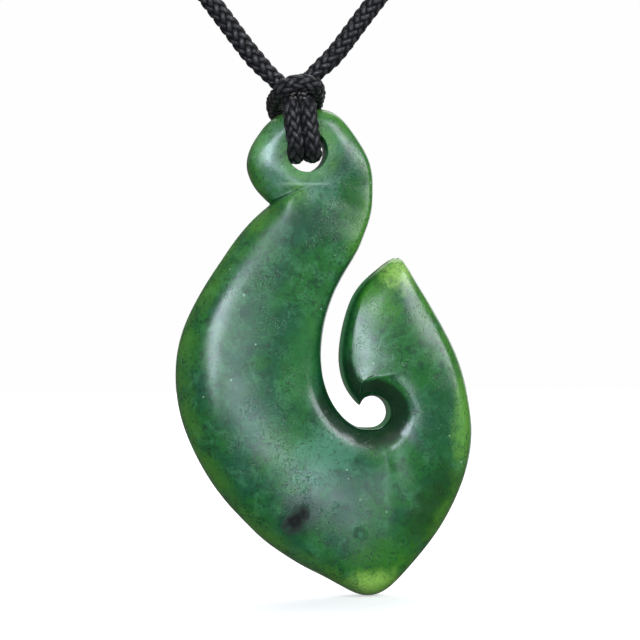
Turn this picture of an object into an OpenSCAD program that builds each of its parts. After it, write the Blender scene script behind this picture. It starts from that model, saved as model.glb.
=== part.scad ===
/* [Stone] */
// Height of the carved stone, from its rounded foot to the top of the ring
pendant_h = 60; // [50:1:70]
// Width of the carved stone
pendant_w = 36.8; // [31:0.1:42]
// Thickness at the shank
thick = 8; // [6.5:0.1:10]
// Thickness of the ring that the cord goes round
ring_thick = 5.3; // [4.4:0.1:6]
// Width of the rounding along the outer edge, at the foot
rim_w = 2.2; // [1.6:0.1:2.6]
// Width of the slope cut along the gap and round the curl
bevel_w = 2.2; // [1.6:0.1:2.5]
// Width of the gap between the hook and the shank
gap_w = 2.4; // [2:0.1:2.8]
// Width of the curl hole at the foot of the gap
curl_d = 4; // [3.6:0.1:4.4]
// How far the back rim of the curl hole sits inside its front rim
curl_lean = 0.2; // [0:0.1:0.8]
// Width of the hole for the cord
hole_d = 5.06; // [4.9:0.02:5.5]
// How far the hole sits to the right of the middle of the neck loop
hole_out = 1.5; // [0:0.1:3]

/* [Cord] */
// Diameter of the braided cord
cord_d = 2.4; // [2.2:0.1:2.4]
// Diameter of the cord where the hitch pinches it
hitch_d = 2.1; // [1.9:0.05:2.1]
// Space between the cord in the hitch and the stone
hitch_fit = 0.1; // [0.05:0.05:0.15]
// Height of the neck loop above the top of the stone
loop_drop = 131; // [125:1:135]
// Turns of cord round the tying knot
knot_turns = 5; // [3:1:6]
// Diameter of the tying knot
knot_d = 7.2; // [6.4:0.1:8]

/* [Hidden] */

stone_green = "seagreen";
cord_black = [0.1, 0.1, 0.1];
// Thickness of the blunt edge all round, as a share of half the thickness
blunt = 0.02;
// Steps across the outer rounding, the face and the inner slope
rim_steps = 5;
face_steps = 5;
slope_steps = 5;
across = rim_steps + face_steps + slope_steps;
// How much flatter the back is than the front
back_share = 0.92;
half = thick / 2;
ring_share = ring_thick / thick;

// Places on the stone in percent of its width and height, from its left and its foot
hole_at = [43.3, 91.3];
curl_at = [66, 38.1];
stone_left = hole_out - hole_at[0] / 100 * pendant_w;
stone_foot = -loop_drop - pendant_h;
function place(s) = [stone_left + s[0] / 100 * pendant_w, stone_foot + s[1] / 100 * pendant_h];
hole_c = place(hole_at);
curl_c = place(curl_at);
function turn(a) = [cos(a), sin(a)];

// Smooth curve through rows of numbers, at step t between rows b and c
function between(a, b, c, d, t) =
    (2 * b + (c - a) * t + (2 * a - 5 * b + 4 * c - d) * t * t + (3 * b - a - 3 * c + d) * t * t * t) / 2;
function along(rows, u) =
    let (n = len(rows) - 1, i = max(0, min(floor(u), n - 1)))
    between(rows[max(i - 1, 0)], rows[i], rows[i + 1], rows[min(i + 2, n)], u - i);
function joined(lists) = [for (l = lists) each l];

// The gap's middle line, from its mouth down to the barb:
// [x %, height %, width as a share of gap_w, bearing across it]
channel = [
    [68.8, 71.05, 1.60, -27], [66.8, 70.1, 1.40, -27], [63.3, 68.1, 1.25, -27], [59.5, 65.5, 1.05, -27],
    [56.1, 62.0, 0.95, -22], [53.7, 57.9, 1.00, -16], [52.2, 53.7, 1.00, -8.5], [51.6, 49.9, 1.00, -1],
    [52.0, 46.6, 1.00, 8], [53.2, 43.5, 1.00, 19.5], [55.5, 40.6, 1.02, 30], [58.4, 38.4, 1.02, 46],
    [60.7, 37.4, 1.05, 60]];
// One side of the gap at station s: side is 1 on the hook, -1 on the shank
function gap_side(s, side) =
    let (c = along(channel, s)) place(c) + side * gap_w / 2 * c[2] * turn(c[3]);
function curl_edge(a, share) = curl_c + curl_d / 2 * share * turn(a);
function curl_crest(a, share) = curl_c + (curl_d / 2 + bevel_w * share) * turn(a);

// A section across the stone, from its outer edge L to its inner edge R, as one row of numbers:
// 0 L x, 1 L z, 2 rounding width, 3 height at L, 4 height at the rounding's end,
// 5 inner crest x, 6 crest z, 7 height there, 8 R x, 9 R z, 10 height at R, 11 crown of the face,
// 12 crispness of the slope, 13 lean x, 14 lean z of the back rim. Heights are shares of half.

// The hook from its point down:
// [edge x %, edge height %, rounding share, gap station, crest share, crest bearing,
//  height at the rounding, at the crest, at the gap, crown]
hook_rows = [
    [75.0, 69.65, 0.14, 0.00, 0.10, -20, 0.12, 0.10, 0.02, 0.00],
    [76.2, 69.2, 0.22, 0.50, 0.20, -21, 0.25, 0.21, 0.02, 0.02],
    [77.0, 68.5, 0.28, 1.00, 0.30, -22, 0.34, 0.30, 0.02, 0.04],
    [78.6, 67.1, 0.40, 2.00, 0.44, -24, 0.46, 0.43, 0.02, 0.07],
    [80.9, 64.7, 0.52, 3.00, 0.52, -20, 0.55, 0.54, 0.03, 0.11],
    [84.5, 61.2, 0.60, 3.90, 0.56, -16, 0.61, 0.63, 0.05, 0.15],
    [87.9, 57.6, 0.64, 4.80, 0.58, -10, 0.66, 0.69, 0.09, 0.18],
    [88.9, 56.6, 0.66, 5.80, 0.60, -4, 0.69, 0.73, 0.13, 0.20],
    [89.8, 55.6, 0.68, 7.00, 0.64, 3, 0.71, 0.75, 0.17, 0.21],
    [90.6, 54.7, 0.70, 8.00, 0.72, 20, 0.72, 0.77, 0.20, 0.21],
    [91.4, 53.8, 0.72, 9.00, 0.90, 46, 0.73, 0.80, 0.20, 0.19],
    [92.2, 52.9, 0.74, 10.00, 1.14, 73, 0.74, 0.83, 0.20, 0.17],
    [92.9, 52.0, 0.75, 11.00, 1.36, 89, 0.75, 0.86, 0.18, 0.15]];
// The stretch round the curl, from the barb to the gap:
// [edge x %, edge height %, rounding share, bearing on the hole, its radius share,
//  bearing of the crest, crest share, height at the rounding, at the crest, at the hole, crown, lean]
curl_rows = [
    [93.5, 51.2, 0.76, 154, 0.90, 113, 1.06, 0.76, 0.88, 0.18, 0.14, 0.0],
    [94.1, 50.4, 0.77, 138, 0.97, 108, 1.00, 0.77, 0.89, 0.25, 0.13, 0.2],
    [94.7, 49.5, 0.78, 122, 1.01, 102, 0.96, 0.78, 0.90, 0.31, 0.12, 0.5],
    [95.5, 48.2, 0.78, 104, 1.00, 92, 0.92, 0.79, 0.90, 0.36, 0.10, 0.9],
    [96.6, 46.2, 0.79, 84, 1.00, 76, 0.91, 0.79, 0.90, 0.39, 0.09, 1.0],
    [97.8, 43.4, 0.80, 64, 1.00, 58, 0.92, 0.80, 0.90, 0.41, 0.08, 1.0],
    [98.9, 40.0, 0.81, 44, 1.00, 38, 0.98, 0.80, 0.91, 0.42, 0.06, 1.0],
    [99.8, 36.0, 0.83, 26, 1.00, 20, 1.04, 0.79, 0.92, 0.42, 0.06, 0.9],
    [99.9, 32.4, 0.85, 8, 1.00, 3, 1.12, 0.78, 0.92, 0.42, 0.06, 0.6],
    [99.1, 28.5, 0.88, -8, 1.00, -12, 1.18, 0.77, 0.92, 0.42, 0.06, 0.3],
    [97.1, 24.0, 0.92, -22, 1.00, -26, 1.22, 0.76, 0.93, 0.42, 0.06, 0.1],
    [93.6, 18.9, 0.96, -36, 1.00, -40, 1.28, 0.74, 0.93, 0.42, 0.06, 0.0],
    [89.0, 13.9, 1.00, -48, 1.00, -52, 1.34, 0.73, 0.94, 0.42, 0.06, 0.0],
    [83.8, 9.6, 1.02, -58, 1.00, -62, 1.42, 0.70, 0.94, 0.42, 0.06, 0.0],
    [79.0, 6.2, 1.02, -66, 1.00, -69, 1.46, 0.67, 0.94, 0.42, 0.06, 0.0],
    [74.6, 3.3, 1.00, -73, 1.00, -75, 1.50, 0.65, 0.95, 0.42, 0.06, 0.0],
    [70.4, 1.1, 1.00, -80, 1.00, -81, 1.52, 0.63, 0.95, 0.42, 0.06, 0.0],
    [66.0, 0.1, 1.02, -87, 1.00, -87, 1.54, 0.63, 0.95, 0.42, 0.06, 0.0],
    [61.2, 0.4, 1.06, -94, 1.01, -93, 1.54, 0.65, 0.95, 0.42, 0.06, 0.0],
    [56.0, 2.0, 1.14, -101, 1.03, -99, 1.52, 0.68, 0.95, 0.42, 0.06, 0.0],
    [49.6, 4.2, 1.26, -108, 1.06, -105, 1.50, 0.72, 0.95, 0.42, 0.06, 0.0],
    [42.6, 6.4, 1.40, -116, 1.12, -112, 1.48, 0.76, 0.95, 0.42, 0.06, 0.0],
    [35.6, 9.1, 1.56, -125, 1.20, -120, 1.50, 0.80, 0.95, 0.42, 0.06, 0.0],
    [29.0, 12.1, 1.72, -135, 1.32, -130, 1.56, 0.84, 0.95, 0.42, 0.06, 0.0]];
// The shank from the curl up to the notch:
// [edge x %, edge height %, rounding share, gap station, crest share, crest bearing,
//  height at the rounding, at the crest, at the gap, crown]
shank_rows = [
    [23.2, 15.6, 1.86, 12.0, 1.25, 218, 0.86, 0.95, 0.42, 0.06],
    [17.4, 19.4, 1.98, 11.5, 1.20, 216, 0.89, 0.95, 0.41, 0.07],
    [12.2, 23.6, 2.08, 11.0, 1.17, 212, 0.92, 0.94, 0.40, 0.08],
    [8.0, 27.9, 2.16, 10.5, 1.14, 205, 0.94, 0.93, 0.39, 0.08],
    [4.5, 32.4, 2.22, 10.0, 1.12, 197, 0.95, 0.92, 0.38, 0.08],
    [1.9, 36.9, 2.26, 9.4, 1.10, 193, 0.96, 0.91, 0.36, 0.08],
    [0.4, 41.6, 2.28, 8.7, 1.02, 192, 0.96, 0.89, 0.34, 0.08],
    [0.0, 46.3, 2.28, 8.0, 0.92, 190, 0.96, 0.88, 0.31, 0.08],
    [0.6, 50.6, 2.26, 7.0, 0.76, 187, 0.95, 0.86, 0.27, 0.08],
    [2.4, 54.9, 2.22, 6.0, 0.67, 183, 0.94, 0.85, 0.21, 0.09],
    [5.2, 58.9, 2.14, 5.2, 0.64, 176, 0.93, 0.84, 0.15, 0.09],
    [9.8, 64.0, 2.00, 4.1, 0.60, 168, 0.92, 0.80, 0.08, 0.09],
    [15.2, 69.0, 1.84, 3.1, 0.52, 160, 0.90, 0.75, 0.03, 0.09]];
// The upper shank, where its right edge is an outer one:
// [edge x %, edge height %, rounding share, right edge x %, height %, crest x %, crest height %,
//  height at the rounding, at the crest, crown]
upper_rows = [
    [20.3, 73.5, 1.76, 59.4, 69.4, 57.0, 70.2, 0.87, 0.70, 0.09],
    [25.8, 77.4, 1.50, 61.6, 71.9, 59.7, 72.4, 0.86, 0.65, 0.09]];
// Right edge of the neck from beside the notch to beside the hole:
// [right edge x %, height %, crest x %, crest height %, height at the crest]
neck_rows = [
    [63.0, 74.1, 61.4, 74.5, 0.60], [64.9, 77.3, 63.3, 77.5, 0.54], [65.9, 80.4, 64.3, 80.5, 0.50],
    [66.1, 83.5, 64.5, 83.5, 0.47]];
// The crease between the ring and the shoulder, from the notch to the hole's foot:
// [x %, height %, height in the crease, width of the shoulder as a share of rim_w, its height]
crease_rows = [
    [31.6, 80.5, 0.02, 1.10, 0.84], [33.4, 81.4, 0.20, 0.72, 0.82], [35.5, 82.2, 0.36, 0.46, 0.79],
    [38.0, 83.0, 0.49, 0.30, 0.76], [40.9, 83.6, 0.58, 0.22, 0.71], [43.9, 84.1, 0.66, 0.20, 0.66]];
// Bearing from the hole to the crease's end
seam_bearing = -84;
// The ring's heights below are for a ring two thirds as thick as the shank
level = ring_share / 0.66;
// The ring, anticlockwise from the hole's foot:
// [bearing on the hole, crest x %, crest height %, height share, outer x %, outer height %]
ring_rows = [
    [-78, 64.5, 84.8, 0.46, 66.1, 84.6], [-62, 64.4, 86.4, 0.46, 66, 86.3],
    [-42, 63.6, 88.9, 0.46, 65.2, 88.9], [-22, 62.1, 90.9, 0.46, 63.7, 91.1],
    [-2, 60.0, 93.0, 0.46, 61.6, 93.3], [18, 57.6, 95.0, 0.46, 59.1, 95.5],
    [36, 55.1, 97.0, 0.46, 56.4, 97.6], [54, 52.2, 98.4, 0.46, 53.2, 99.2],
    [72, 48.6, 99.1, 0.46, 49.4, 100], [90, 44.2, 99.0, 0.46, 44.4, 100],
    [108, 39.9, 98.8, 0.46, 39.6, 99.8], [126, 35.5, 98.0, 0.46, 34.6, 98.8],
    [142, 31.9, 96.4, 0.46, 30.6, 97], [158, 29.2, 94.3, 0.46, 27.6, 94.6],
    [174, 26.7, 92.1, 0.46, 25.2, 92.2], [190, 25.5, 89.7, 0.47, 23.9, 89.6],
    [206, 26.2, 87.7, 0.49, 24, 87.3], [220, 28.2, 86.5, 0.52, 25.4, 85],
    [233, 31.5, 85.3, 0.56, 27.2, 83.3], [245, 35.2, 84.7, 0.60, 29, 82.1],
    [256, 38.8, 84.3, 0.64, 30.3, 81.3], [266, 41.8, 84.2, 0.66, 31.1, 80.9]];
// Width of the flat by the hole, and the most that it takes of the way to the crease
land_w = 0.9;
land_most = 0.4;
// Crispness of a slope, from 0 for a quarter round to 1 for a flat cut: at the outer rounding, on the hook,
// at the thin neck, what the shank's gains with the height of its edge, round the curl, on the ring
rim_crisp = 0.06;
hook_crisp = 0.02;
neck_crisp = 0.08;
shank_crisp = 1.2;
curl_crisp = 0.6;
ring_crisp = 0.12;

// The crown with which a face starts level and falls away ever faster, from height a to height b
function level_start(a, b) = (a - b) / 4;

// Every table's rows as sections
function gap_section(r, side) =
    let (l = place(r), e = gap_side(r[3], side), c = e + bevel_w * r[4] * turn(r[5]))
    [l[0], l[1], rim_w * r[2], blunt, r[6], c[0], c[1], r[7], e[0], e[1], r[8], r[9],
     side > 0 ? hook_crisp : neck_crisp + shank_crisp * r[8], 0, 0];
function curl_section(r) =
    let (l = place(r), e = curl_edge(r[3], r[4]), c = curl_crest(r[5], r[6]),
         b = -curl_lean * r[11] * turn(r[3]))
    [l[0], l[1], rim_w * r[2], blunt, r[7], c[0], c[1], r[8], e[0], e[1], r[9], r[10],
     curl_crisp, b[0], b[1]];
function upper_section(r) =
    let (l = place(r), e = place([r[3], r[4]]), c = place([r[5], r[6]]))
    [l[0], l[1], rim_w * r[2], blunt, r[7], c[0], c[1], r[8], e[0], e[1], blunt, r[9], neck_crisp, 0, 0];
function ring_section(r) =
    let (l = hole_c + hole_d / 2 * turn(r[0]), e = place([r[4], r[5]]), c = place([r[1], r[2]]),
         h = level * r[3])
    [l[0], l[1], land_w, ring_share, ring_share, c[0], c[1], h, e[0], e[1], blunt,
     level_start(ring_share, h), ring_crisp, 0, 0];

// The crease at column j, counted from the hole's foot to the notch:
// [x, z, height, width of the shoulder, its height]
hole_foot = hole_c + hole_d / 2 * turn(seam_bearing);
crease_last = crease_rows[len(crease_rows) - 1];
crease_way = place(crease_last) - hole_foot;
land = min(land_w / norm(crease_way), land_most);
function crease_at(j) =
    j >= rim_steps + face_steps
    ? let (r = along(crease_rows, (across - j) / slope_steps * (len(crease_rows) - 1)), p = place(r))
      [p[0], p[1], r[2] * level, rim_w * r[3], r[4] * level]
    : let (t = j < rim_steps ? land * j / rim_steps : land + (1 - land) * (j - rim_steps) / face_steps,
           p = hole_foot + t * crease_way)
      [p[0], p[1], ring_share + t * (crease_last[2] * level - ring_share), rim_w * crease_last[3],
       ring_share + t * (crease_last[4] * level - ring_share)];
// How far up the neck's rows the sections reach that start in the crease, and on the face by the hole
neck_reach = [0.5, 0.85];
function neck_way(j) =
    let (n = len(neck_rows) - 1, b = neck_reach[0], f = neck_reach[1])
    n * (j >= rim_steps + face_steps ? b * (across - j) / slope_steps
    : j >= rim_steps ? f - (f - b) * (j - rim_steps) / face_steps : 1 - (1 - f) * j / rim_steps);
function crease_section(j) =
    let (l = crease_at(j), r = along(neck_rows, neck_way(j)), e = place(r), c = place([r[2], r[3]]),
         h = r[4] * level)
    [l[0], l[1], l[3], l[2], l[4], c[0], c[1], h, e[0], e[1], blunt, level_start(l[4], h),
     ring_crisp + (neck_crisp - ring_crisp) * j / across, 0, 0];

blade = joined([[for (r = hook_rows) gap_section(r, 1)], [for (r = curl_rows) curl_section(r)],
    [for (r = shank_rows) gap_section(r, -1)], [for (r = upper_rows) upper_section(r)]]);
crease = [for (j = [across : -1 : 0]) crease_section(j)];
ring = [for (r = ring_rows) ring_section(r)];
rows = joined([blade, crease, ring]);
notch_row = len(blade);
foot_row = notch_row + across;
// Steps from one row to the next: more where the outer edge runs far
far_run = pendant_w * 0.075;
function run(i) = norm([rows[i + 1][0] - rows[i][0], rows[i + 1][1] - rows[i][1]]);
function steps_after(i) = i >= notch_row && i < foot_row ? 1 : run(i) > far_run ? 3 : 2;
function row_before(i) = rows[max(i - 1, 0)];
function row_after(i) = rows[min(i + 2, len(rows) - 1)];
sections = [for (i = [0 : len(rows) - 2]) for (k = [0 : steps_after(i) - 1])
    between(row_before(i), rows[i], rows[i + 1], row_after(i), k / steps_after(i))];
all_sections = concat(sections, [rows[len(rows) - 1]]);
count = len(all_sections);
// The notch's section, and the one that starts at the hole's foot
function steps_before(i) = i == 0 ? 0 : steps_before(i - 1) + steps_after(i - 1);
notch = steps_before(notch_row);
foot = steps_before(foot_row);

// Rise of a rounded or a cut slope, from 0 at the edge to 1 at its crest
function rise(t, crisp) = (1 - crisp) * sqrt(max(0, 1 - (1 - t) * (1 - t))) + crisp * t;
// The outer rounding takes at most this share of the way to the crest
rim_most = 0.6;
// One point of a section: [x, z, height]
function section_point(s, j) =
    let (l = [s[0], s[1]], c = [s[5], s[6]], e = [s[8], s[9]], way = c - l,
         m = l + min(s[2] / norm(way), rim_most) * way)
    j <= rim_steps
    ? let (t = 1 - cos(90 * j / rim_steps))
      concat(l + t * (m - l), [s[3] + (s[4] - s[3]) * rise(t, rim_crisp)])
    : j <= rim_steps + face_steps
    ? let (t = (j - rim_steps) / face_steps)
      concat(m + t * (c - m), [s[4] + (s[7] - s[4]) * t + s[11] * 4 * t * (1 - t)])
    : let (t = 1 - cos(90 * (across - j) / slope_steps))
      concat(e + t * (c - e), [s[10] + (s[7] - s[10]) * rise(t, s[12])]);
function front_point(s, j) = let (p = section_point(s, j)) [p[0], -half * p[2], p[1]];
function back_point(s, j) =
    let (p = section_point(s, j), t = max(0, (j - rim_steps - face_steps) / slope_steps))
    [p[0] + s[13] * t, half * back_share * p[2], p[1] + s[14] * t];

stone_points = [for (s = all_sections) each concat(
    [for (j = [0 : across]) front_point(s, j)], [for (j = [0 : across]) back_point(s, j)])];
row_len = 2 * (across + 1);
// Index of a point. The row after the last one is the crease, which the ring's end closes on
function at(i, side, j) =
    i == count ? (foot - j) * row_len + side * (across + 1) : i * row_len + side * (across + 1) + j;
// Two triangles, wound one way or the other
function patch(a, b, c, d, side) = side == 0 ? [[a, b, c], [a, c, d]] : [[a, c, b], [a, d, c]];

module pendant() {
    faces = concat(
        [for (i = [0 : count - 1]) for (side = [0, 1]) for (j = [0 : across - 1])
            each patch(at(i, side, j), at(i + 1, side, j), at(i + 1, side, j + 1), at(i, side, j + 1), side)],
        [for (i = [0 : count - 1]) if (i < notch || i >= foot)
            each patch(at(i, 1, 0), at(i + 1, 1, 0), at(i + 1, 0, 0), at(i, 0, 0), 0)],
        [for (i = [0 : count - 1])
            each patch(at(i, 0, across), at(i + 1, 0, across), at(i + 1, 1, across), at(i, 1, across), 0)],
        [for (j = [0 : across - 1])
            each patch(at(0, 1, j), at(0, 0, j), at(0, 0, j + 1), at(0, 1, j + 1), 0)]);
    color(stone_green) polyhedron(points = stone_points, faces = faces, convexity = 8);
}

// The hitch: how far the cord's middle runs from the stone's middle, and the ring's bar that it grips
hitch_y = ring_thick / 2 + hitch_fit + hitch_d / 2;
bar_h = stone_foot + pendant_h - hole_c[1];
// Gap where two lengths of cord meet
joint_gap = 0.1;
// The cord's way through the hitch, from its left arm to its right:
// [cord widths right of the hole, share of hitch_y behind the stone's middle, share of bar_h above the hole]
hitch_route = [
    [-2.19, 0.09, 1.87], [-1.50, 0.15, 1.62], [-1.10, 0.03, 1.44], [-1.04, -0.50, 1.20],
    [-1.02, -0.93, 1.00], [-0.99, -1.03, 0.72], [-0.88, -1.03, 0.41], [-0.76, -1.00, 0.16],
    [-0.69, -0.80, -0.04], [-0.60, -0.40, -0.10], [-0.55, 0.00, -0.08], [-0.57, 0.40, -0.08],
    [-0.64, 0.78, 0.00], [-0.76, 1.00, 0.20], [-0.95, 1.03, 0.48], [-1.24, 0.98, 0.76],
    [-1.53, 0.82, 1.00], [-1.70, 0.42, 1.14], [-1.72, -0.08, 1.22], [-1.64, -0.56, 1.32],
    [-1.40, -0.95, 1.44], [-0.88, -1.10, 1.55], [-0.33, -1.12, 1.57], [0.22, -0.98, 1.52],
    [0.58, -0.55, 1.42], [0.68, -0.05, 1.29], [0.70, 0.42, 1.18], [0.72, 0.82, 1.00],
    [0.68, 0.99, 0.76], [0.62, 1.03, 0.48], [0.55, 0.98, 0.22], [0.48, 0.76, 0.02],
    [0.45, 0.40, -0.05], [0.45, 0.00, -0.05], [0.41, -0.40, -0.07], [0.31, -0.80, -0.02],
    [0.21, -1.00, 0.18], [0.12, -1.03, 0.41], [0.01, -1.03, 0.72], [-0.05, -0.93, 1.00],
    [-0.08, -0.50, 1.20], [-0.08, 0.03, 1.44], [0.12, 0.15, 1.62], [0.69, 0.09, 1.87]];
// One half of the neck loop, from the hitch to the tying knot:
// [out from the middle, height above the stone's top]
loop_route = [
    [5, 6.5], [9, 11.7], [17, 22], [26, 33.5], [35, 45], [44, 56.5], [53, 68.5], [61, 80], [67.5, 91],
    [71.5, 100], [73, 107], [72, 114.5], [67.5, 120.5], [60, 125], [50, 128], [38, 129.8], [24, 130.7],
    [13, 131]];

function unit(v) = v / norm(v);
// The turns of the knot lie pressed together
turn_press = 0.95;
knot_pitch = cord_d * turn_press;
knot_l = knot_turns * knot_pitch;
// The last of the loop's height goes to the knot's own, so that the two stay in line
loop_top = loop_route[len(loop_route) - 1][1];
function loop_point(r) = [r[0], r[1] / loop_top * loop_drop - loop_drop];
loop_points = concat([for (r = loop_route) loop_point(r)], [[knot_l / 2 + joint_gap, 0]]);
loop_steps = 2;
loop_line = [for (i = [0 : (len(loop_points) - 1) * loop_steps]) along(loop_points, i / loop_steps)];
function heading(line, i) = unit(line[min(i + 1, len(line) - 1)] - line[max(i - 1, 0)]);
cord_sides = 8;

// One ring of points round the cord at step i
function cord_ring(i) =
    let (h = heading(loop_line, i), p = loop_line[i], r = cord_d / 2)
    [for (k = [0 : cord_sides - 1]) let (c = turn(360 * k / cord_sides) * r)
        [p[0] - h[1] * c[0], c[1], p[1] + h[0] * c[0]]];
// The right half of the neck cord
module cord_right() {
    last = len(loop_line) - 1;
    function corner(i, k) = i * cord_sides + k % cord_sides;
    sides = [for (i = [0 : last - 1]) for (k = [0 : cord_sides - 1])
        each patch(corner(i, k), corner(i, k + 1), corner(i + 1, k + 1), corner(i + 1, k), 0)];
    ends = [for (k = [1 : cord_sides - 2]) each [
        [corner(0, 0), corner(0, k + 1), corner(0, k)],
        [corner(last, 0), corner(last, k), corner(last, k + 1)]]];
    color(cord_black) polyhedron(
        points = [for (i = [0 : last]) each cord_ring(i)], faces = concat(sides, ends), convexity = 6);
}
module cord_left() mirror([1, 0, 0]) cord_right();

// The hitch's stops, with the ends of the two arms
hitch_arm = loop_line[0] - joint_gap * heading(loop_line, 0);
hitch_stops = concat(
    [[-hitch_arm[0], 0, hitch_arm[1]]],
    [for (r = hitch_route) [hole_c[0] + r[0] * hitch_d, r[1] * hitch_y, hole_c[1] + r[2] * bar_h]],
    [[hitch_arm[0], 0, hitch_arm[1]]]);
hitch_last = len(hitch_stops) - 1;
// The way of the cord at stop i, in line with the arm at either end
function hitch_way(i) =
    i == 0 || i == hitch_last ? let (w = heading(loop_line, 0)) [w[0], 0, i == 0 ? -w[1] : w[1]]
        : unit(hitch_stops[i + 1] - hitch_stops[i - 1]);
// A direction square to the cord, carried from stop to stop without a twist
hitch_side = [for (i = 0, s = [0, 1, 0]; i <= hitch_last;
    i = i + 1, s = let (w = hitch_way(min(i, hitch_last))) unit(s - w * (s * w))) s];
function hitch_ring(i) =
    let (w = hitch_way(i), s = hitch_side[i], u = cross(w, s), r = (i == 0 || i == hitch_last ? cord_d : hitch_d) / 2)
    [for (k = [0 : cord_sides - 1]) let (c = turn(360 * k / cord_sides) * r)
        hitch_stops[i] + s * c[0] + u * c[1]];
// Stops where the bight starts and ends
bight_stops = [17, 29];

// The cow hitch that holds the stone: two legs through the hole, and the bight across them
module hitch() {
    function corner(i, k) = i * cord_sides + k % cord_sides;
    // The stretch of cord from stop a to stop b
    module stretch(a, b) {
        sides = [for (i = [0 : b - a - 1]) for (k = [0 : cord_sides - 1])
            each patch(corner(i, k), corner(i, k + 1), corner(i + 1, k + 1), corner(i + 1, k), 1)];
        ends = [for (k = [1 : cord_sides - 2]) each [
            [corner(0, 0), corner(0, k), corner(0, k + 1)],
            [corner(b - a, 0), corner(b - a, k + 1), corner(b - a, k)]]];
        polyhedron(points = [for (i = [a : b]) each hitch_ring(i)], faces = concat(sides, ends), convexity = 6);
    }
    color(cord_black) union() {
        stretch(0, bight_stops[0]);
        stretch(bight_stops[0], bight_stops[1]);
        stretch(bight_stops[1], hitch_last);
    }
}

// The knot that closes the loop behind the neck: turns of cord round the two ends
module tying_knot() {
    turn_r = cord_d / 2;
    core_r = knot_d / 2 - turn_r;
    color(cord_black) rotate([0, 90, 0]) rotate_extrude($fn = 48) {
        translate([0, -knot_l / 2 + turn_r / 2]) square([core_r, knot_l - turn_r]);
        for (i = [0 : knot_turns - 1])
            translate([core_r, (i - (knot_turns - 1) / 2) * knot_pitch]) circle(turn_r, $fn = 32);
    }
}

pendant();
hitch();
cord_left();
cord_right();
tying_knot();
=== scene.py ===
# %% [markdown]
# # A greenstone fish hook on a braided cord
#
# This notebook dresses a carved hei matau, a hook of nephrite jade, that hangs from a black braided cord.
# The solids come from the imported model: one stone, the hitch that holds it, two halves of the neck cord
# and the knot that ties them. They have the right sizes and places, but plain facets and no finish. Here
# the stone gets a smooth polished skin, and the cord gets its real sixteen strands.

# %% Load the solids
import math

import bpy
import numpy as np
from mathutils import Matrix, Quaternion, Vector
from mathutils.kdtree import KDTree


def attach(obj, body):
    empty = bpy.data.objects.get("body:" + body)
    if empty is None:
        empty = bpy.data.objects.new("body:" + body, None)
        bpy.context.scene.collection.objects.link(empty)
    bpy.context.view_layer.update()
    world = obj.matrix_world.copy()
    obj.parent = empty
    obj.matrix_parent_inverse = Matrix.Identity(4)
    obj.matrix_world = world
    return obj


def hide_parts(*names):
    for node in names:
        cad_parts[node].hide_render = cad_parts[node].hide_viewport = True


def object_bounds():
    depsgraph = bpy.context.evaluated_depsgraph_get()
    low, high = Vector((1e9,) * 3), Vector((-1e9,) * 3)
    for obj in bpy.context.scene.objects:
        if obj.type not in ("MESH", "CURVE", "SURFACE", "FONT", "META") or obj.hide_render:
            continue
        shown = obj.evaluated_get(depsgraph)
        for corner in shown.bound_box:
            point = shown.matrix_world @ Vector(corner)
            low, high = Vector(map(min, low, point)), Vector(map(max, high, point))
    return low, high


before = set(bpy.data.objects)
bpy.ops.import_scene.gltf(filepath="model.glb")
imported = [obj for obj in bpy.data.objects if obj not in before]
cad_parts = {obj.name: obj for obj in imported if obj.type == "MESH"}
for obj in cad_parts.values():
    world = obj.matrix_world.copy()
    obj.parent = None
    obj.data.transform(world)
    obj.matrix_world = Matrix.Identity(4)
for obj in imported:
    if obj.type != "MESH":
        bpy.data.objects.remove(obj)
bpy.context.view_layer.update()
MM = 0.001
print("solids:", ", ".join(sorted(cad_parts)))

# %% [markdown]
# ## Where the camera stands
#
# The photograph shows the hook hanging, with a camera at about the height of its middle and a little to its
# left: the wall of the cord hole shows on the right only. A pixel covers 0.1228 mm on the stone. The frame
# is 640 pixels wide, so the lens and the sensor give the distance. A long lens keeps the outline flat, as
# in a product photograph.

# %% Camera
PIXEL = 0.1228 * MM
FRAME_PX = 640
STONE_TOP_PX = Vector((292.7, 109.6))
STONE_TOP_Z = -131 * MM
CAMERA_TURN = math.radians(-8)
CAMERA_RISE = math.radians(1.5)
LENS, SENSOR = 135, 36

camera_right = Vector((math.cos(CAMERA_TURN), math.sin(CAMERA_TURN), 0))
camera_back = Vector((
    math.sin(CAMERA_TURN) * math.cos(CAMERA_RISE),
    -math.cos(CAMERA_TURN) * math.cos(CAMERA_RISE),
    math.sin(CAMERA_RISE),
))
middle = camera_right * (FRAME_PX / 2 - STONE_TOP_PX.x) * PIXEL
middle.z = STONE_TOP_Z - (FRAME_PX / 2 - STONE_TOP_PX.y) * PIXEL
camera_far = FRAME_PX * PIXEL * LENS / SENSOR

bpy.ops.object.camera_add(
    location=middle + camera_back * camera_far,
    rotation=(math.pi / 2 - CAMERA_RISE, 0, CAMERA_TURN),
)
camera = bpy.context.object
camera.name = "camera"
camera.data.lens = LENS
camera.data.sensor_width = SENSOR
camera.data.clip_start = 0.01
bpy.context.scene.camera = camera
print(f"camera {camera_far * 1000:.0f} mm from the stone")

# %% [markdown]
# ## The way of the cord
#
# The real thing is one length of braid. Its middle is pushed through the ring as a loop, and both ends go
# through that loop, which makes a cow hitch: two legs side by side through the hole, and a bight across
# them. The arms then go up and apart, round the neck, and meet in a knot. The points are those of the
# solids, so the braid lies where the plain tubes lie.

# %% The cord's route
CORD_D = 2.4 * MM
HITCH_D = 2.1 * MM
HOLE = Vector((1.5, 0, -136.22)) * MM
HITCH_Y = 3.8 * MM
BAR_H = 5.22 * MM
LOOP_TOP = 131

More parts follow.
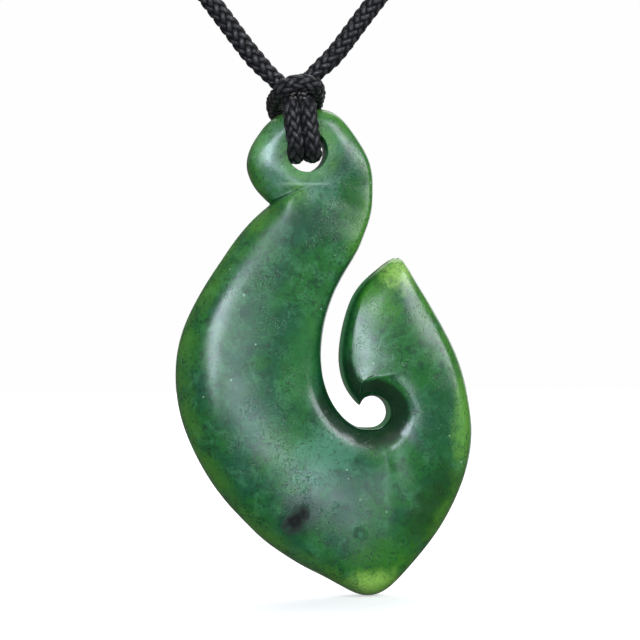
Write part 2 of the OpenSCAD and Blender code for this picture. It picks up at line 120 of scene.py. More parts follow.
# [cord widths right of the hole, share of HITCH_Y behind the middle, share of BAR_H above the hole]
HITCH_ROUTE = [
    [-2.19, 0.09, 1.87], [-1.50, 0.15, 1.62], [-1.10, 0.03, 1.44], [-1.04, -0.50, 1.20],
    [-1.02, -0.93, 1.00], [-0.99, -1.03, 0.72], [-0.88, -1.03, 0.41], [-0.76, -1.00, 0.16],
    [-0.69, -0.80, -0.04], [-0.60, -0.40, -0.10], [-0.55, 0.00, -0.08], [-0.57, 0.40, -0.08],
    [-0.64, 0.78, 0.00], [-0.76, 1.00, 0.20], [-0.95, 1.03, 0.48], [-1.24, 0.98, 0.76],
    [-1.53, 0.82, 1.00], [-1.70, 0.42, 1.14], [-1.72, -0.08, 1.22], [-1.64, -0.56, 1.32],
    [-1.40, -0.95, 1.44], [-0.88, -1.10, 1.55], [-0.33, -1.12, 1.57], [0.22, -0.98, 1.52],
    [0.58, -0.55, 1.42], [0.68, -0.05, 1.29], [0.70, 0.42, 1.18], [0.72, 0.82, 1.00],
    [0.68, 0.99, 0.76], [0.62, 1.03, 0.48], [0.55, 0.98, 0.22], [0.48, 0.76, 0.02],
    [0.45, 0.40, -0.05], [0.45, 0.00, -0.05], [0.41, -0.40, -0.07], [0.31, -0.80, -0.02],
    [0.21, -1.00, 0.18], [0.12, -1.03, 0.41], [0.01, -1.03, 0.72], [-0.05, -0.93, 1.00],
    [-0.08, -0.50, 1.20], [-0.08, 0.03, 1.44], [0.12, 0.15, 1.62], [0.69, 0.09, 1.87],
]
# [mm out from the middle, mm above the stone's top] from the hitch to the tying knot
LOOP_ROUTE = [
    [5, 6.5], [9, 11.7], [17, 22], [26, 33.5], [35, 45], [44, 56.5], [53, 68.5], [61, 80], [67.5, 91],
    [71.5, 100], [73, 107], [72, 114.5], [67.5, 120.5], [60, 125], [50, 128], [38, 129.8], [24, 130.7],
    [13, 131],
]
KNOT_TURNS = 5
KNOT_D = 7.2 * MM
KNOT_PITCH = CORD_D * 0.95
KNOT_L = KNOT_TURNS * KNOT_PITCH

right_way = [Vector((x, 0, z - LOOP_TOP)) * MM for x, z in LOOP_ROUTE] + [Vector((KNOT_L / 2, 0, 0))]
left_way = [Vector((-p.x, 0, p.z)) for p in right_way]
hitch_way = [
    HOLE + Vector((x * HITCH_D, y * HITCH_Y, z * BAR_H)) for x, y, z in HITCH_ROUTE
]
whole_way = left_way[::-1] + hitch_way + right_way
print(len(whole_way), "points along the cord")

# %% [markdown]
# A route with few points needs a smooth curve through them. A centripetal Catmull-Rom curve passes through
# every point and never loops where points crowd together, as they do in the hitch. The curve is then cut
# into even steps, and a frame is carried along it without twisting, so that the braid doesn't wring.

# %% Smooth, evenly spaced path with its frames
def smooth(points, fine=24):
    """A centripetal Catmull-Rom curve through the points, as an array of fine steps."""
    p = np.array([2 * points[0] - points[1], *points, 2 * points[-1] - points[-2]], float)
    knots = np.concatenate([[0], np.cumsum(np.linalg.norm(np.diff(p, axis=0), axis=1) ** 0.5)])
    out = []
    for i in range(1, len(p) - 2):
        t = np.linspace(knots[i], knots[i + 1], fine, endpoint=False)[:, None]
        k = knots[i - 1 : i + 3]
        a = [((k[j + 1] - t) * p[i - 1 + j] + (t - k[j]) * p[i + j]) / (k[j + 1] - k[j]) for j in range(3)]
        b = [((k[j + 2] - t) * a[j] + (t - k[j]) * a[j + 1]) / (k[j + 2] - k[j]) for j in range(2)]
        out.append(((k[2] - t) * b[0] + (t - k[1]) * b[1]) / (k[2] - k[1]))
    return np.concatenate([*out, p[-2:-1]])


def length_along(line):
    """The length of a line from its start to each of its points."""
    return np.concatenate([[0], np.cumsum(np.linalg.norm(np.diff(line, axis=0), axis=1))])


def at_lengths(line, lengths):
    """The points of a line at the given lengths from its start."""
    along = length_along(line)
    return np.stack([np.interp(lengths, along, line[:, i]) for i in range(3)], 1)


def carried_frames(line):
    """Tangents, and a side direction carried along the line without twist."""
    ahead = np.gradient(line, axis=0)
    ahead /= np.linalg.norm(ahead, axis=1)[:, None]
    side = np.zeros_like(line)
    start = np.cross(ahead[0], (0, 1, 0))
    side[0] = start / np.linalg.norm(start)
    for i in range(1, len(line)):
        s = side[i - 1] - ahead[i] * (side[i - 1] @ ahead[i])
        side[i] = s / np.linalg.norm(s)
    return ahead, side


STEP = 0.1 * MM
fine_line = smooth(whole_way)
cord_total = length_along(fine_line)[-1]
cord_line = at_lengths(fine_line, np.arange(0, cord_total, STEP))


def nearest_length(point):
    """How far along the cord a point lies."""
    return float(np.argmin(np.linalg.norm(cord_line - np.array(point), axis=1)) * STEP)


left_end = nearest_length(left_way[0])
right_start = nearest_length(right_way[0])
print(f"cord {cord_total * 1000:.0f} mm, of which {(right_start - left_end) * 1000:.0f} mm in the hitch")

# %% [markdown]
# ## Sixteen strands
#
# The photograph shows eight columns of leaf-shaped bundles round the cord, and neighbouring columns lean
# opposite ways. That is a sixteen-carrier braid: eight strands wind to the right and eight to the left,
# and each goes over two others and under two. One bundle shows for 1.27 mm of cord. A bump pattern would
# give a smooth outline, and the real one is scalloped, so every strand is a mesh of its own. At angle q,
# counted in sixteenths of a turn, all the strands of one hand are outside where q mod 4 lies near a half,
# and those of the other hand two sixteenths further on.

# %% Sizes of the braid
STRANDS = 8  # of each hand
LEAD = 10.2 * MM  # the cord's length for one turn of a strand
PERIOD = LEAD / 4  # a strand goes over and under once
# shares of the cord's radius: a strand's middle, its rise and dip, its half width and half thickness
STRAND_R, LIFT = 0.66, 0.15
STRAND_W, STRAND_T = 0.31, 0.23
FLATTEN = 0.6  # how long a strand stays up before it dips
DOWN = -1.0  # the height of the core, as low as a strand gets
print(f"a bundle shows for {PERIOD / 2 * 1000:.2f} mm of cord")


# %% Course of one strand
def strand_course(hand, strand, lengths):
    """Where a strand is round the cord at each length, and its height from -1, inside, to 1, outside."""
    angle = hand * 2 * np.pi * lengths / LEAD + 2 * np.pi * strand / STRANDS
    q = 16 * angle / (2 * np.pi)
    wave = hand * np.cos(2 * np.pi * (q - 0.5) / 4)
    return angle, np.tanh(FLATTEN * wave) / math.tanh(FLATTEN)


_, heights = strand_course(1, 0, np.linspace(0, LEAD, 400, endpoint=False))
print(f"a strand is in the outer half of its lift for {np.mean(heights > 0) * 100:.0f} % of its way")

# %% [markdown]
# A strand is a flat tube of rings. Each ring lies across the cord, so it needs only a middle and two half
# widths. The shader wants to know more than the shape: a UV map runs round and along each strand, for its
# filaments, and a number on each point says how far up the strand is and how far out the point, for the
# sheen painted on top and the black shade painted between the bundles.

# %% Tubes and their mesh
def tube_faces(rings, sides, first):
    """Quads of a closed tube of rings, and its two end caps."""
    i, k = np.meshgrid(np.arange(rings - 1), np.arange(sides), indexing="ij")
    a, b = i * sides + k, i * sides + (k + 1) % sides
    quads = first + np.stack([a, b, b + sides, a + sides], -1).reshape(-1, 4)
    caps = [
        [first + k for k in range(sides)][::-1],
        [first + (rings - 1) * sides + k for k in range(sides)],
    ]
    return quads.tolist() + caps


def mesh_of_tubes(name, tubes, lengths, sides):
    """One mesh of tubes, each given by its middles, its two half widths and its heights."""
    rings = len(lengths)
    turns = np.linspace(0, 2 * np.pi, sides, endpoint=False)
    points, faces, on_top = [], [], []
    for i, (middles, wide, thick, height) in enumerate(tubes):
        ring = middles[:, None] + np.cos(turns)[None, :, None] * wide[:, None] \
            + np.sin(turns)[None, :, None] * thick[:, None]
        points.append(ring.reshape(-1, 3))
        faces += tube_faces(rings, sides, i * rings * sides)
        on_top.append(np.outer(0.5 + 0.5 * height, 0.5 + 0.5 * np.sin(turns)).ravel())
    mesh = bpy.data.meshes.new(name)
    mesh.from_pydata(np.concatenate(points).tolist(), [], faces)
    mesh.shade_smooth()
    corner = np.zeros(len(mesh.loops), int)
    mesh.loops.foreach_get("vertex_index", corner)
    across = np.tile(turns / (2 * np.pi), rings * len(tubes))
    along = np.tile(np.repeat(lengths / MM, sides), len(tubes))
    uv = mesh.uv_layers.new(name="strand")
    uv.data.foreach_set("uv", np.stack([across[corner], along[corner]], 1).ravel())
    # how far up and out each point is, which the shader paints as sheen on the tops and black shade between
    sheen_and_shade_layer = mesh.attributes.new("on_top", "FLOAT", "POINT")
    sheen_and_shade_layer.data.foreach_set("value", np.concatenate(on_top).astype(np.float32))
    return mesh


print("a tube of three rings has", len(tube_faces(3, 6, 0)), "faces")


# %% A stretch of braid
def braid(name, line, radius, start=0.0, end=None, rings_a_period=8, sides=6):
    """Braid along a stretch of a line, as one piece of sixteen strands and a core, and its centreline."""
    total = length_along(line)[-1]
    end = total if end is None else end
    even = at_lengths(line, np.linspace(0, total, int(total / STEP) + 1))
    even_ahead, even_side = carried_frames(even)
    lengths = np.linspace(start, end, int((end - start) / PERIOD * rings_a_period))
    nearest = np.rint(lengths / total * (len(even) - 1)).astype(int)
    middle_line = at_lengths(line, lengths)
    side = even_side[nearest]
    other = np.cross(even_ahead[nearest], side)
    r = radius(lengths)[:, None]
    tubes = []
    for hand in (1, -1):
        for strand in range(STRANDS):
            angle, height = strand_course(hand, strand, lengths)
            out = np.cos(angle)[:, None] * side + np.sin(angle)[:, None] * other
            middles = middle_line + out * r * (STRAND_R + LIFT * height)[:, None]
            wide = np.cross(np.gradient(middles, axis=0), out)
            wide /= np.linalg.norm(wide, axis=1)[:, None]
            tubes.append((middles, wide * r * STRAND_W, out * r * STRAND_T, height))
    tubes.append((middle_line, side * r * STRAND_R, other * r * STRAND_R, np.full(len(lengths), DOWN)))
    mesh = mesh_of_tubes(name, tubes, lengths, sides)
    piece = bpy.data.objects.new(name, mesh)
    bpy.context.scene.collection.objects.link(piece)
    print(f"{name}: {(end - start) * 1000:.0f} mm, {len(mesh.polygons) * 2} triangles")
    return piece, middle_line


print("a braid has", 2 * STRANDS, "strands and a core")

# %% [markdown]
# The hitch pinches the braid, so it is thinner there and swells back to its full width in the arms. What
# is close to the stone shows large in the picture and gets the finer mesh.

# %% The three stretches of braid
SWELL = 4 * MM


def full_radius(lengths):
    """The radius of the free cord."""
    return np.full(len(lengths), CORD_D / 2)


def cord_radius(lengths):
    """The radius of the whole cord, pinched between the two ends of the hitch."""
    inside = np.minimum(lengths - left_end, right_start - lengths) / SWELL
    pinch = np.clip(inside, 0, 1)
    return CORD_D / 2 + (HITCH_D - CORD_D) / 2 * pinch * pinch * (3 - 2 * pinch)


hitch_braid, _ = braid(
    "hitch_braid", cord_line, cord_radius, left_end, right_start, rings_a_period=14, sides=8
)
left_braid, left_line = braid("left_cord_braid", cord_line, cord_radius, end=left_end)
right_braid, right_line = braid("right_cord_braid", cord_line, cord_radius, start=right_start)

# %% [markdown]
# ## The knot behind the neck
#
# The photograph doesn't show how the cord is closed. The plainest way is a wrapped knot: the two ends lie
# side by side and the spare cord is wound round them. The same braid follows a screw line for the turns,
# and a straight stretch fills the middle.

# %% Tying knot
KNOT_SHOWN_TURNS = 4.5
KNOT_WRAP_R = KNOT_D / 2 - CORD_D / 2


def wrap_line():
    """The screw line of the turns round the X axis."""
    turn = np.arange(0, KNOT_SHOWN_TURNS * 2 * np.pi, STEP / KNOT_WRAP_R)
    x = (turn / (2 * np.pi) - KNOT_SHOWN_TURNS / 2) * KNOT_PITCH
    return np.stack([x, KNOT_WRAP_R * np.cos(turn), KNOT_WRAP_R * np.sin(turn)], 1)


def fuse(name, parts):
    """Joins finished meshes into one piece."""
    bpy.ops.object.select_all(action="DESELECT")
    for part in parts:
        part.select_set(True)
    bpy.context.view_layer.objects.active = parts[0]
    bpy.ops.object.join()
    parts[0].name = parts[0].data.name = name
    return parts[0]


wraps, _ = braid("knot_wraps", wrap_line(), full_radius)
core, _ = braid("knot_core", np.array([[-KNOT_L / 2, 0, 0], [KNOT_L / 2, 0, 0]]), full_radius)
knot = fuse("tying_knot_braid", [wraps, core])

# %% [markdown]
# The two halves are free cords; their lengths are printed. The hitch and the knot are short fixed pieces of
# the same braid.

left_arm, right_arm = left_way[0], right_way[0]

for braided, node, line, arm in (
    (left_braid, "cord_left", left_line[::-1], left_arm),
    (right_braid, "cord_right", right_line, right_arm),
):
    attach(braided, "root")
    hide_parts(node)
    print(f"{braided.name}: {length_along(line)[-1] * 1000:.0f} mm")
for piece, node in ((hitch_braid, "hitch"), (knot, "tying_knot")):
    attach(piece, "root")
    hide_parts(node)

# %% [markdown]
# ## The carved stone
#
# The solid has the real outline and section, as a net of facets. A copy of it is merged, because the solid
# is loose triangles, and the triangles are paired back into quads, which subdivide smoothly. Edges that
# turn sharply, such as the rims of the cord hole, keep a crease, because the carver left them crisp. One
# level of subdivision rounds all the rest, as the polishing did.

# %% A merged copy of the stone
WELD = 0.002 * MM
SHARP = math.radians(32)
CRISP = 0.8


def bare_copy(node, name):
    """A new object with a copy of a solid's mesh."""
    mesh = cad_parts[node].data.copy()
    mesh.materials.clear()
    piece = bpy.data.objects.new(name, mesh)
    mesh.name = name
    bpy.context.scene.collection.objects.link(piece)
    return piece


def only(piece):
    """Selects one piece alone and makes it active."""
    bpy.ops.object.select_all(action="DESELECT")
    piece.select_set(True)
    bpy.context.view_layer.objects.active = piece


stone = bare_copy("pendant", "carved_stone")
only(stone)
bpy.ops.object.mode_set(mode="EDIT")
bpy.ops.mesh.select_all(action="SELECT")
bpy.ops.mesh.remove_doubles(threshold=WELD)
bpy.ops.mesh.customdata_custom_splitnormals_clear()
bpy.ops.mesh.tris_convert_to_quads(face_threshold=math.pi, shape_threshold=math.pi)
bpy.ops.mesh.select_all(action="DESELECT")
bpy.ops.mesh.select_mode(type="EDGE")
bpy.ops.mesh.edges_select_sharp(sharpness=SHARP)
bpy.ops.transform.edge_crease(value=CRISP)
bpy.ops.object.mode_set(mode="OBJECT")
quads = sum(len(p.vertices) == 4 for p in stone.data.polygons)
print(f"stone: {quads} quads of {len(stone.data.polygons)} faces")

# %% Smooth skin of the stone
smoother = stone.modifiers.new("polish", "SUBSURF")
smoother.levels = smoother.render_levels = 1
bpy.ops.object.modifier_apply(modifier=smoother.name)
bpy.ops.object.shade_smooth()
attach(stone, "root")
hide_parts("pendant")
print(f"stone: {len(stone.data.polygons)} faces after polishing")

# %% [markdown]
# Light passes through a thin rim, which glows yellow-green, and is lost in the thick middle, which looks
# deep green; that glow is painted into the colour. A shader can't measure how far a point is from the rim,
# so it is measured here and kept as a number on each point: the distance, seen from the front, to the
# nearest point whose surface faces sideways. A second number tells how far the surface leans back, for the
# shade painted on the slopes along the gap.

# %% Distance to the rim, and lean
def add_point_values(piece, name, values):
    """Keeps a number on each point of a piece."""
    layer = piece.data.attributes.new(name, "FLOAT", "POINT")
    layer.data.foreach_set("value", np.asarray(values, np.float32))


SIDEWAYS = 0.12
points = stone.data.vertices
outline = [Vector((v.co.x, 0, v.co.z)) for v in points if abs(v.normal.y) < SIDEWAYS]
rims = KDTree(len(outline))
for i, place in enumerate(outline):
    rims.insert(place, i)
rims.balance()
from_rim = [rims.find(Vector((v.co.x, 0, v.co.z)))[2] / MM for v in points]
add_point_values(stone, "from_rim", from_rim)
add_point_values(stone, "lean", [1 - abs(v.normal.y) for v in points])
print(f"no point lies more than {max(from_rim):.1f} mm from a rim")

# %% [markdown]
# ## Helpers for materials
#
# Colours are written as the hex codes that one reads off a picture. Blender works in linear light, so one
# function converts them. Another adds a node, sets its properties and fills or links its sockets.

# %% Colour and node helpers
def linear(code):
    """An sRGB hex code as a linear RGBA colour."""
    parts = [int(code[i : i + 2], 16) / 255 for i in (1, 3, 5)]
    return (*[c / 12.92 if c <= 0.04045 else ((c + 0.055) / 1.055) ** 2.4 for c in parts], 1)


def add(tree, kind, settings=None, sockets=None):
    """Adds a node. A socket's value is a constant, or a node or output to link."""
    node = tree.nodes.new("ShaderNode" + kind)
    for name, value in (settings or {}).items():
        setattr(node, name, value)
    for name, value in (sockets or {}).items():
        if isinstance(value, bpy.types.Node):
            value = value.outputs[0]
        if isinstance(value, bpy.types.NodeSocket):
            tree.links.new(value, node.inputs[name])
        else:
            node.inputs[name].default_value = value
    return node


def new_material(name):
    """An empty node material, and its tree."""
    material = bpy.data.materials.new(name)
    material.use_nodes = True
    material.node_tree.nodes.clear()
    return material, material.node_tree


print(f"middle grey, #808080, is {linear('#808080')[0]:.3f} in linear light")

# %% [markdown]
# ## Nephrite
#
# The stone is nephrite, the tough, felted jade. It is ground to shape and rubbed to a satin polish, so a
# soft box shows as a wide grey-blue sheen and not as a sharp spot. Its colour is a cloudy mix of blue-green
# and clear green, with dark specks, a few pale ones and one black inclusion. Thin rims turn yellow-green.
# The colour is built in layers, from the large clouds to the small specks, each with its real size. Each
# layer is painted over the ones below, as far as a pattern or a place lets it show. The helpers paint the
# material that `tree` holds, so the cord uses them too.

# %% How the stone is painted
nephrite, tree = new_material("nephrite, satin polish")
MIX_A, MIX_B, MIX_OUT = 6, 7, 2  # the colour sockets of a Mix node
here = add(tree, "TexCoord").outputs["Object"]
in_mm = add(tree, "VectorMath", {"operation": "SCALE"}, {0: here, "Scale": 1 / MM})


def lumps(size, detail=3.0, distortion=0.0, shift=0.0):
    """A cloudy value whose lumps are about `size` millimetres across. The shift tells patterns apart."""
    moved = add(tree, "VectorMath", {"operation": "ADD"}, {0: in_mm, 1: (shift, shift, shift)})
    return add(tree, "TexNoise", None, {
        "Vector": moved, "Scale": 1 / size, "Detail": detail, "Roughness": 0.6, "Distortion": distortion,
    }).outputs["Fac"]


def shown(*parts):
    """How much of a finish shows, which is the product of its parts.

    A part is a share, or a value with where none of the finish shows and where all of it does.
    """
    shares = []
    for part in parts:
        if isinstance(part, tuple):
            value, none, full = part
            part = add(tree, "MapRange", {"interpolation_type": "SMOOTHSTEP"}, {
                "Value": value, "From Min": none, "From Max": full,
            }).outputs[0]
        shares.append(part)
    together = shares[0]
    for share in shares[1:]:
        together = add(tree, "Math", {"operation": "MULTIPLY"}, {0: together, 1: share}).outputs[0]
    return together


def paint(under, colour, *parts):
    """Paints a colour, a hex code, over what is below, as far as its parts let it show."""
    mix = add(tree, "Mix", {"data_type": "RGBA"}, {0: shown(*parts), MIX_A: under, MIX_B: linear(colour)})
    return mix.outputs[MIX_OUT]


print("Object coordinates in mm:", len(tree.nodes), "nodes")

# %% Clouds of the nephrite
clouds_and_painted_light = paint(linear("#175c3a"), "#246f2c", (lumps(7, 2, 0.4), 0.38, 0.62))
clouds_and_painted_light = paint(clouds_and_painted_light, "#4c9060", (lumps(2.4, 6, 0.8, 11), 0.46, 0.66), 0.5)
clouds_and_painted_light = paint(clouds_and_painted_light, "#0e3c24", (lumps(1.3, 6, 0.5, 23), 0.48, 0.66), 0.65)
print("clouds:", len(tree.nodes), "nodes")

# %% [markdown]
# Some clouds have a place of their own in this stone. Each is a soft blob at its place on the front, with
# an edge that noise makes ragged. A few of these marks paint light and shade, not the stone's colour: a
# sheen, highlights on the ridges, the glow of a rim and the shade round a pit.

# %% Marks that have their own place
FRONT = -3.6  # mm, the y of the front face
TIP_Z = -190.95  # mm
DEPTH = 4.0  # mm, how deep a mark reaches
RAGGED = 1.3  # how far the noise moves the edge of a mark
# name: (mm right of the middle, mm above the tip, mm wide, mm high, lean in degrees, how much, colour)
MARKS = {
    "bright neck": (7.6, 46.0, 4.0, 13, -8, 0.7, "#32822f"),
    "bright shank": (0.8, 29.5, 5.6, 13, 12, 0.65, "#327d36"),
    # partly the ring's own paler, greyer tone and partly a painted sheen over its face
    "pale ring with painted sheen": (0.5, 54.5, 13.0, 12, 0, 0.7, "#769f90"),
    # a painted highlight on the left of the ring
    "painted highlight on the ring's side": (-4.2, 56.0, 4.5, 6, 20, 0.5, "#93d0a6"),
    # a painted sheen on the lower middle, below the crest round the curl
    "painted sheen below the curl": (3.4, 17.8, 10, 7.5, -35, 0.5, "#66a888"),
    "deep neck": (7.2, 48.3, 4.2, 8, -10, 0.75, "#1a5c1c"),
    "dark shoulder": (0.3, 46.8, 5, 4, 0, 0.45, "#144a2b"),
    # painted highlights along the ridges of the ring and the shoulder
    "painted highlight on the ring's ridge": (1.0, 50.75, 6.2, 0.42, 0, 0.45, "#b4d4bf"),
    "painted highlight on the shoulder's ridge": (0.6, 50.1, 5.4, 0.42, -18, 0.45, "#b4d4bf"),
    "dark neck": (5.2, 53.2, 3.6, 2.8, -30, 0.7, "#1c4538"),
    "dark upper shank": (3.6, 45.5, 4.6, 5, 20, 0.7, "#104a2c"),
    "deep right field": (18.5, 20, 6.0, 16, 0, 0.6, "#1b5f2c"),
    # the glow of light through the thin right rim, painted
    "painted glow of the right rim": (21.4, 25, 3.6, 26, 6, 0.75, "#71b048"),
    "deep lower right": (17.1, 10.8, 6, 13, 25, 0.8, "#154508"),
    "green foot": (10.5, 4, 11, 8, 0, 0.85, "#2f7618"),
    "lime foot": (10.0, 1.2, 9, 4.6, 0, 0.85, "#a2d45e"),
    "green hook point": (9.6, 37.2, 9, 5.5, 52, 0.85, "#3f8a20"),
    "lime hook point": (12.2, 40.6, 7.5, 4.4, 40, 0.95, "#a8d46a"),
    "inclusion halo": (0.3, 10.4, 6, 7, 30, 0.75, "#123626"),
    # painted shade round the rim of the pit, whose dent is not in the shape
    "painted shade on the pit's rim": (7.9, 7.95, 1.7, 2.0, -20, 0.8, "#0c3420"),
    "pit middle": (7.95, 7.9, 1.1, 1.3, -20, 0.9, "#3f7f58"),
    "spur of the inclusion": (1.0, 10.6, 1.8, 1.3, 60, 0.9, "#0c1410"),
    "inclusion": (-0.1, 9.8, 2.2, 4.4, 35, 1.0, "#020103"),
}


def blob(x, above_tip, wide, high, turn):
    """How near a point is to a mark: 1 in its middle, 0 outside."""
    centre = (x, FRONT, TIP_Z + above_tip)
    local = add(tree, "Mapping", {"vector_type": "TEXTURE"}, {
        "Vector": in_mm, "Location": centre, "Rotation": (0, math.radians(turn), 0),
        "Scale": (wide / 2, DEPTH, high / 2),
    })
    far = add(tree, "VectorMath", {"operation": "LENGTH"}, {0: local}).outputs["Value"]
    ragged = add(tree, "Math", {"operation": "MULTIPLY_ADD"}, {0: edge_noise, 1: RAGGED, 2: far})
    return shown((ragged, 1.95, 1.0))


edge_noise = lumps(1.4, 3, 0, 5)
# clouds and the painted light and shade among the marks go over the colour below alike
for x, above_tip, wide, high, turn, most, tone in MARKS.values():
    mark = shown(blob(x, above_tip, wide, high, turn), most)
    clouds_and_painted_light = paint(clouds_and_painted_light, tone, mark)
inclusion = mark  # the last one
print("marks:", len(MARKS))

# %% [markdown]
# The rims glow where the stone is thin, and that glow is painted. Along the gap there is no glow: its
# slopes,
# and the bowl round the curl, get painted shade in deep green. An ellipse round the gap tells the two apart:
# inside it the distance is below 1. The walls of the gap and of the cord hole are lit from behind, and that
# light is painted in bright green. Dark specks follow, and a few pale ones.

# %% Places near the gap, the curl, the hole and the rims
GAP_MIDDLE = (7.0, FRONT, -166.0)
GAP_SPAN = (7.2, 20.0, 17.0)
GAP_LEAN = math.radians(-8)
CURL = (9.85, 0, -168.1)
RIM_RAGGED = 1.6
flat_place = add(tree, "VectorMath", {"operation": "MULTIPLY"}, {0: in_mm, 1: (1, 0, 1)})
near_gap = add(tree, "Mapping", {"vector_type": "TEXTURE"}, {
    "Vector": in_mm, "Location": GAP_MIDDLE, "Rotation": (0, GAP_LEAN, 0), "Scale": GAP_SPAN,
})
gap_far = add(tree, "VectorMath", {"operation": "LENGTH"}, {0: near_gap}).outputs["Value"]
by_gap, off_gap = shown((gap_far, 1.15, 0.95)), shown((gap_far, 0.95, 1.15))
from_curl, from_hole = [
    add(tree, "VectorMath", {"operation": "DISTANCE"}, {0: flat_place, 1: centre}).outputs["Value"]
    for centre in (CURL, tuple(HOLE / MM))
]
from_rim, leaning = [
    add(tree, "Attribute", {"attribute_name": name}).outputs["Fac"] for name in ("from_rim", "lean")
]
ragged_rim = add(tree, "Math", {"operation": "MULTIPLY_ADD"}, {0: edge_noise, 1: RIM_RAGGED, 2: from_rim})
print("places:", len(tree.nodes), "nodes")

# %% Rims, slopes and walls
rim = shown((ragged_rim, 3.3, 1.2), off_gap, (lumps(4, 3, 0, 37), 0.25, 0.6), 0.65)
slope = shown((leaning, 0.12, 0.6), by_gap, 0.8)
bowl = shown((leaning, 0.03, 0.13), (from_curl, 8.5, 6.5), 0.92)
wall = shown((leaning, 0.6, 0.9))
# painted light: the glow through the thin rims
colour = paint(clouds_and_painted_light, "#5a9a30", rim)
# painted shade on the slopes along the gap and in the bowl round the curl
colour = paint(colour, "#10481e", slope)
colour = paint(colour, "#0a2f14", bowl)
# painted light on the walls of the gap and of the cord hole, lit from behind
colour = paint(colour, "#2f9650", wall, by_gap)
colour = paint(colour, "#3fb468", wall, (from_hole, 3.4, 2.9))
print("rims and slopes:", len(tree.nodes), "nodes")

# %% Dark and pale specks
SPECK, GRAIN, CELL = 0.38, 0.24, 1.6  # mm
specked, grainy = (lumps(3, 2, 0, 41), 0.3, 0.6), (lumps(6, 2, 0, 89), 0.35, 0.6)
colour = paint(colour, "#0c3020", (lumps(SPECK, 3, 0, 31), 0.50, 0.66), 0.6, specked)
colour = paint(colour, "#0e3826", (lumps(GRAIN, 2, 0, 83), 0.50, 0.72), 0.45, grainy)
cells = add(tree, "TexVoronoi", None, {"Vector": in_mm, "Scale": 1 / CELL, "Randomness": 1.0})
lot = add(tree, "SeparateColor", None, {0: cells.outputs["Color"]}).outputs[0]
colour = paint(colour, "#a9d6b4", (cells.outputs["Distance"], 0.11, 0.06), (lot, 0.80, 0.82), 0.6)
print("nephrite colour:", len(tree.nodes), "nodes")

# %% [markdown]
# The polish leaves fine pits where harder and softer grains lay side by side. They break the sheen into a
# grain. The shoulder is rubbed less than the rest, so its sheen is softer, and the slope round the curl is
# rubbed more. The one large pit near the foot and the inclusion take no polish. Light also travels a short
# way inside the stone, 0.7 mm for green, and about a third of that for red and blue.

# %% Polish and depth of the nephrite
PIT, PIT_DEPTH = 0.22, 0.03 * MM  # mm across, and the depth
LIGHT_WAY = 0.7 * MM
MIX_LOW, MIX_HIGH = 2, 3  # the number sockets of a Mix node
pits = shown((lumps(PIT, 2, 0, 47), 0.52, 0.75), (lumps(5, 2, 0, 53), 0.35, 0.65))
relief = add(tree, "Bump", None, {"Strength": 0.5, "Distance": PIT_DEPTH, "Height": pits})
relief.invert = True
satin = add(tree, "MapRange", None, {"Value": lumps(1.8, 4, 0, 61), "To Min": 0.20, "To Max": 0.30})
rough = satin.outputs[0]
for place, roughness in (
    (shown(blob(-3.8, 44.8, 5, 14, 36), 0.7), 0.5),  # the shoulder
    (bowl, 0.18),
    (shown(blob(7.9, 7.95, 1.6, 1.8, -20), 0.9), 0.85),  # the large pit
    (inclusion, 1.0),
):
    mix = add(tree, "Mix", {"data_type": "FLOAT"}, {0: place, MIX_LOW: rough, MIX_HIGH: roughness})
    rough = mix.outputs[0]
stone_shader = add(tree, "BsdfPrincipled", {"subsurface_method": "RANDOM_WALK"}, {
    "Base Color": colour, "Roughness": rough, "IOR": 1.61, "Normal": relief,
    "Subsurface Weight": 0.2, "Subsurface Radius": (0.35, 1.0, 0.3), "Subsurface Scale": LIGHT_WAY,
})
add(tree, "OutputMaterial", None, {"Surface": stone_shader})
stone.data.materials.append(nephrite)
print("nephrite:", len(tree.nodes), "nodes")

# %% [markdown]
# ## Waxed braid
#
# The cord is black nylon, waxed so that the knot holds. Each strand is a bundle of fine filaments, which
# show as thin lines along it. A dull grey sheen is painted on the top of each bundle, and the gaps between
# bundles get painted black shade.
# Real filaments are about 0.03 mm thick, too fine to show, so a strand gets fourteen lines.

# %% Waxed nylon
waxed_nylon, tree = new_material("waxed black nylon braid")
FILAMENTS = 14
FIBRE_DEPTH = 0.03 * MM
here = add(tree, "TexCoord").outputs["Object"]
in_mm = add(tree, "VectorMath", {"operation": "SCALE"}, {0: here, "Scale": 1 / MM})
strand = add(tree, "UVMap", {"uv_map": "strand"}).outputs["UV"]
across = add(tree, "SeparateXYZ", None, {0: strand}).outputs["X"]
turned = add(tree, "Math", {"operation": "MULTIPLY"}, {0: across, 1: FILAMENTS * 2 * math.pi})
fibres = add(tree, "Math", {"operation": "SINE"}, {0: turned})
fluff = lumps(0.3, 3, 0, 71)
fibre_tone = add(tree, "Math", {"operation": "MULTIPLY_ADD"}, {0: fibres, 1: 0.25, 2: fluff})
on_top = add(tree, "Attribute", {"attribute_name": "on_top"}).outputs["Fac"]
# painted sheen: grey on the bundles' tops; painted shade: black where strands dip between others
cord_colour = paint(linear("#020202"), "#59565a", (fibre_tone, 0.1, 0.9), (on_top, 0.5, 0.98))
cord_colour = paint(cord_colour, "#070707", (lumps(1.1, 2, 0, 97), 0.40, 0.62), 0.6)
fibre_bump = add(tree, "Bump", None, {"Strength": 0.6, "Distance": FIBRE_DEPTH, "Height": fibre_tone})
top = shown((on_top, 0.4, 0.95))
wax = add(tree, "MapRange", None, {"Value": top, "To Min": 0.95, "To Max": 0.34}).outputs[0]
cord_shader = add(tree, "BsdfPrincipled", None, {
    "Base Color": cord_colour, "Roughness": wax, "IOR": 1.53, "Specular IOR Level": 0.4,
    "Normal": fibre_bump,
})
add(tree, "OutputMaterial", None, {"Surface": cord_shader})
for piece in (hitch_braid, left_braid, right_braid, knot):
    piece.data.materials.append(waxed_nylon)
print("waxed nylon:", len(tree.nodes), "nodes")

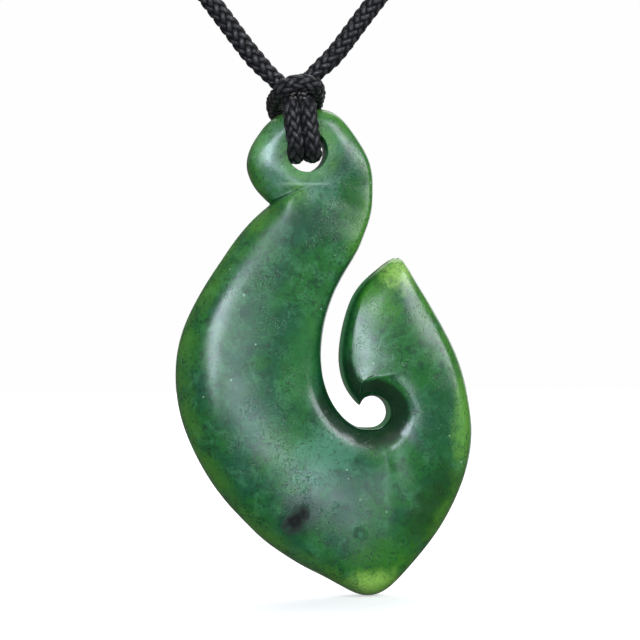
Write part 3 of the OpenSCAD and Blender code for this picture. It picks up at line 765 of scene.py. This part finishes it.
# %% [markdown]
# ## Studio
#
# A plain white floor reaches far back, and the world behind it is as white, so no edge shows. The floor
# glows a little, which keeps it white under the soft light, and is hidden from the stone's reflections.

# %% Floor and world
FLOOR_SIZE, FLOOR_GAP = 0.9, 0.07 * MM
FLOOR_GLOW = 0.46
WORLD_LIGHT, WORLD_SEEN = 0.14, 1.0

bpy.ops.mesh.primitive_plane_add(size=FLOOR_SIZE, location=(0, 0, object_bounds()[0][2] - FLOOR_GAP))
floor = bpy.context.object
floor.name = "floor"
floor.visible_diffuse = floor.visible_glossy = False
paper, tree = new_material("white paper floor")
paper_shader = add(tree, "BsdfPrincipled", None, {
    "Base Color": linear("#f4f4f4"), "Roughness": 0.9, "Specular IOR Level": 0.0,
    "Emission Color": linear("#fdfdfd"), "Emission Strength": FLOOR_GLOW,
})
add(tree, "OutputMaterial", None, {"Surface": paper_shader})
floor.data.materials.append(paper)

world = bpy.data.worlds.new("studio")
bpy.context.scene.world = world
world.use_nodes = True
tree = world.node_tree
tree.nodes.clear()
seen = add(tree, "LightPath").outputs["Is Camera Ray"]
level = add(tree, "MapRange", None, {"Value": seen, "To Min": WORLD_LIGHT, "To Max": WORLD_SEEN})
sky = add(tree, "Background", None, {"Color": linear("#fefefe"), "Strength": level})
add(tree, "OutputWorld", None, {"Surface": sky})
print(f"floor {FLOOR_SIZE} m wide")

# %% [markdown]
# The light is soft. A long box in front, leaning to the left, draws the sheen down the shank and over the
# hook's bend. A lower one carries that sheen on to the foot, and a small one above lights the shoulder. A
# box on the right lights the hook's edge and the crest round the gap. A wide weak one fills the shadows, one
# above and behind shines through the rims, and a rear one draws the same sheen on the back.

# %% Soft boxes
STONE_MIDDLE = Vector((3, 0, -161)) * MM
# name: (degrees right of the camera, degrees up, roll, metres away, width, height, watts, colour)
SOFT_BOXES = {
    "front box": (-15, 10, 45, 0.75, 0.14, 0.46, 2.9, "#e2eeff"),
    "low front box": (11.5, -9.5, 36, 0.75, 0.075, 0.31, 0.85, "#e2eeff"),
    "shoulder box": (-3, 22, 0, 0.75, 0.13, 0.13, 0.65, "#e2eeff"),
    "right box": (52, 24, 0, 0.75, 0.26, 0.47, 2.8, "#f4f8ff"),
    "fill": (0, 30, 0, 1.2, 1.2, 1.0, 1.9, "#ffffff"),
    "back box": (175, 62, 0, 0.9, 1.0, 0.8, 6.0, "#ffffff"),
    "rear box": (160, 12, 0, 1.2, 0.5, 1.0, 2.4, "#f4f8ff"),
}
for name, (right, up, roll, away, wide, high, watts, colour) in SOFT_BOXES.items():
    turn, rise = CAMERA_TURN + math.radians(right), math.radians(up)
    way = Vector((math.sin(turn) * math.cos(rise), -math.cos(turn) * math.cos(rise), math.sin(rise)))
    aim = way.to_track_quat("Z", "Y") @ Quaternion((0, 0, 1), math.radians(roll))
    bpy.ops.object.light_add(type="AREA", location=STONE_MIDDLE + way * away, rotation=aim.to_euler())
    box = bpy.context.object
    box.name = box.data.name = name
    box.data.shape, box.data.size, box.data.size_y = "RECTANGLE", wide, high
    box.data.energy, box.data.color = watts, linear(colour)[:3]
    box.visible_camera = False

bpy.context.scene.view_settings.view_transform = "Standard"
print(len(SOFT_BOXES), "soft boxes")
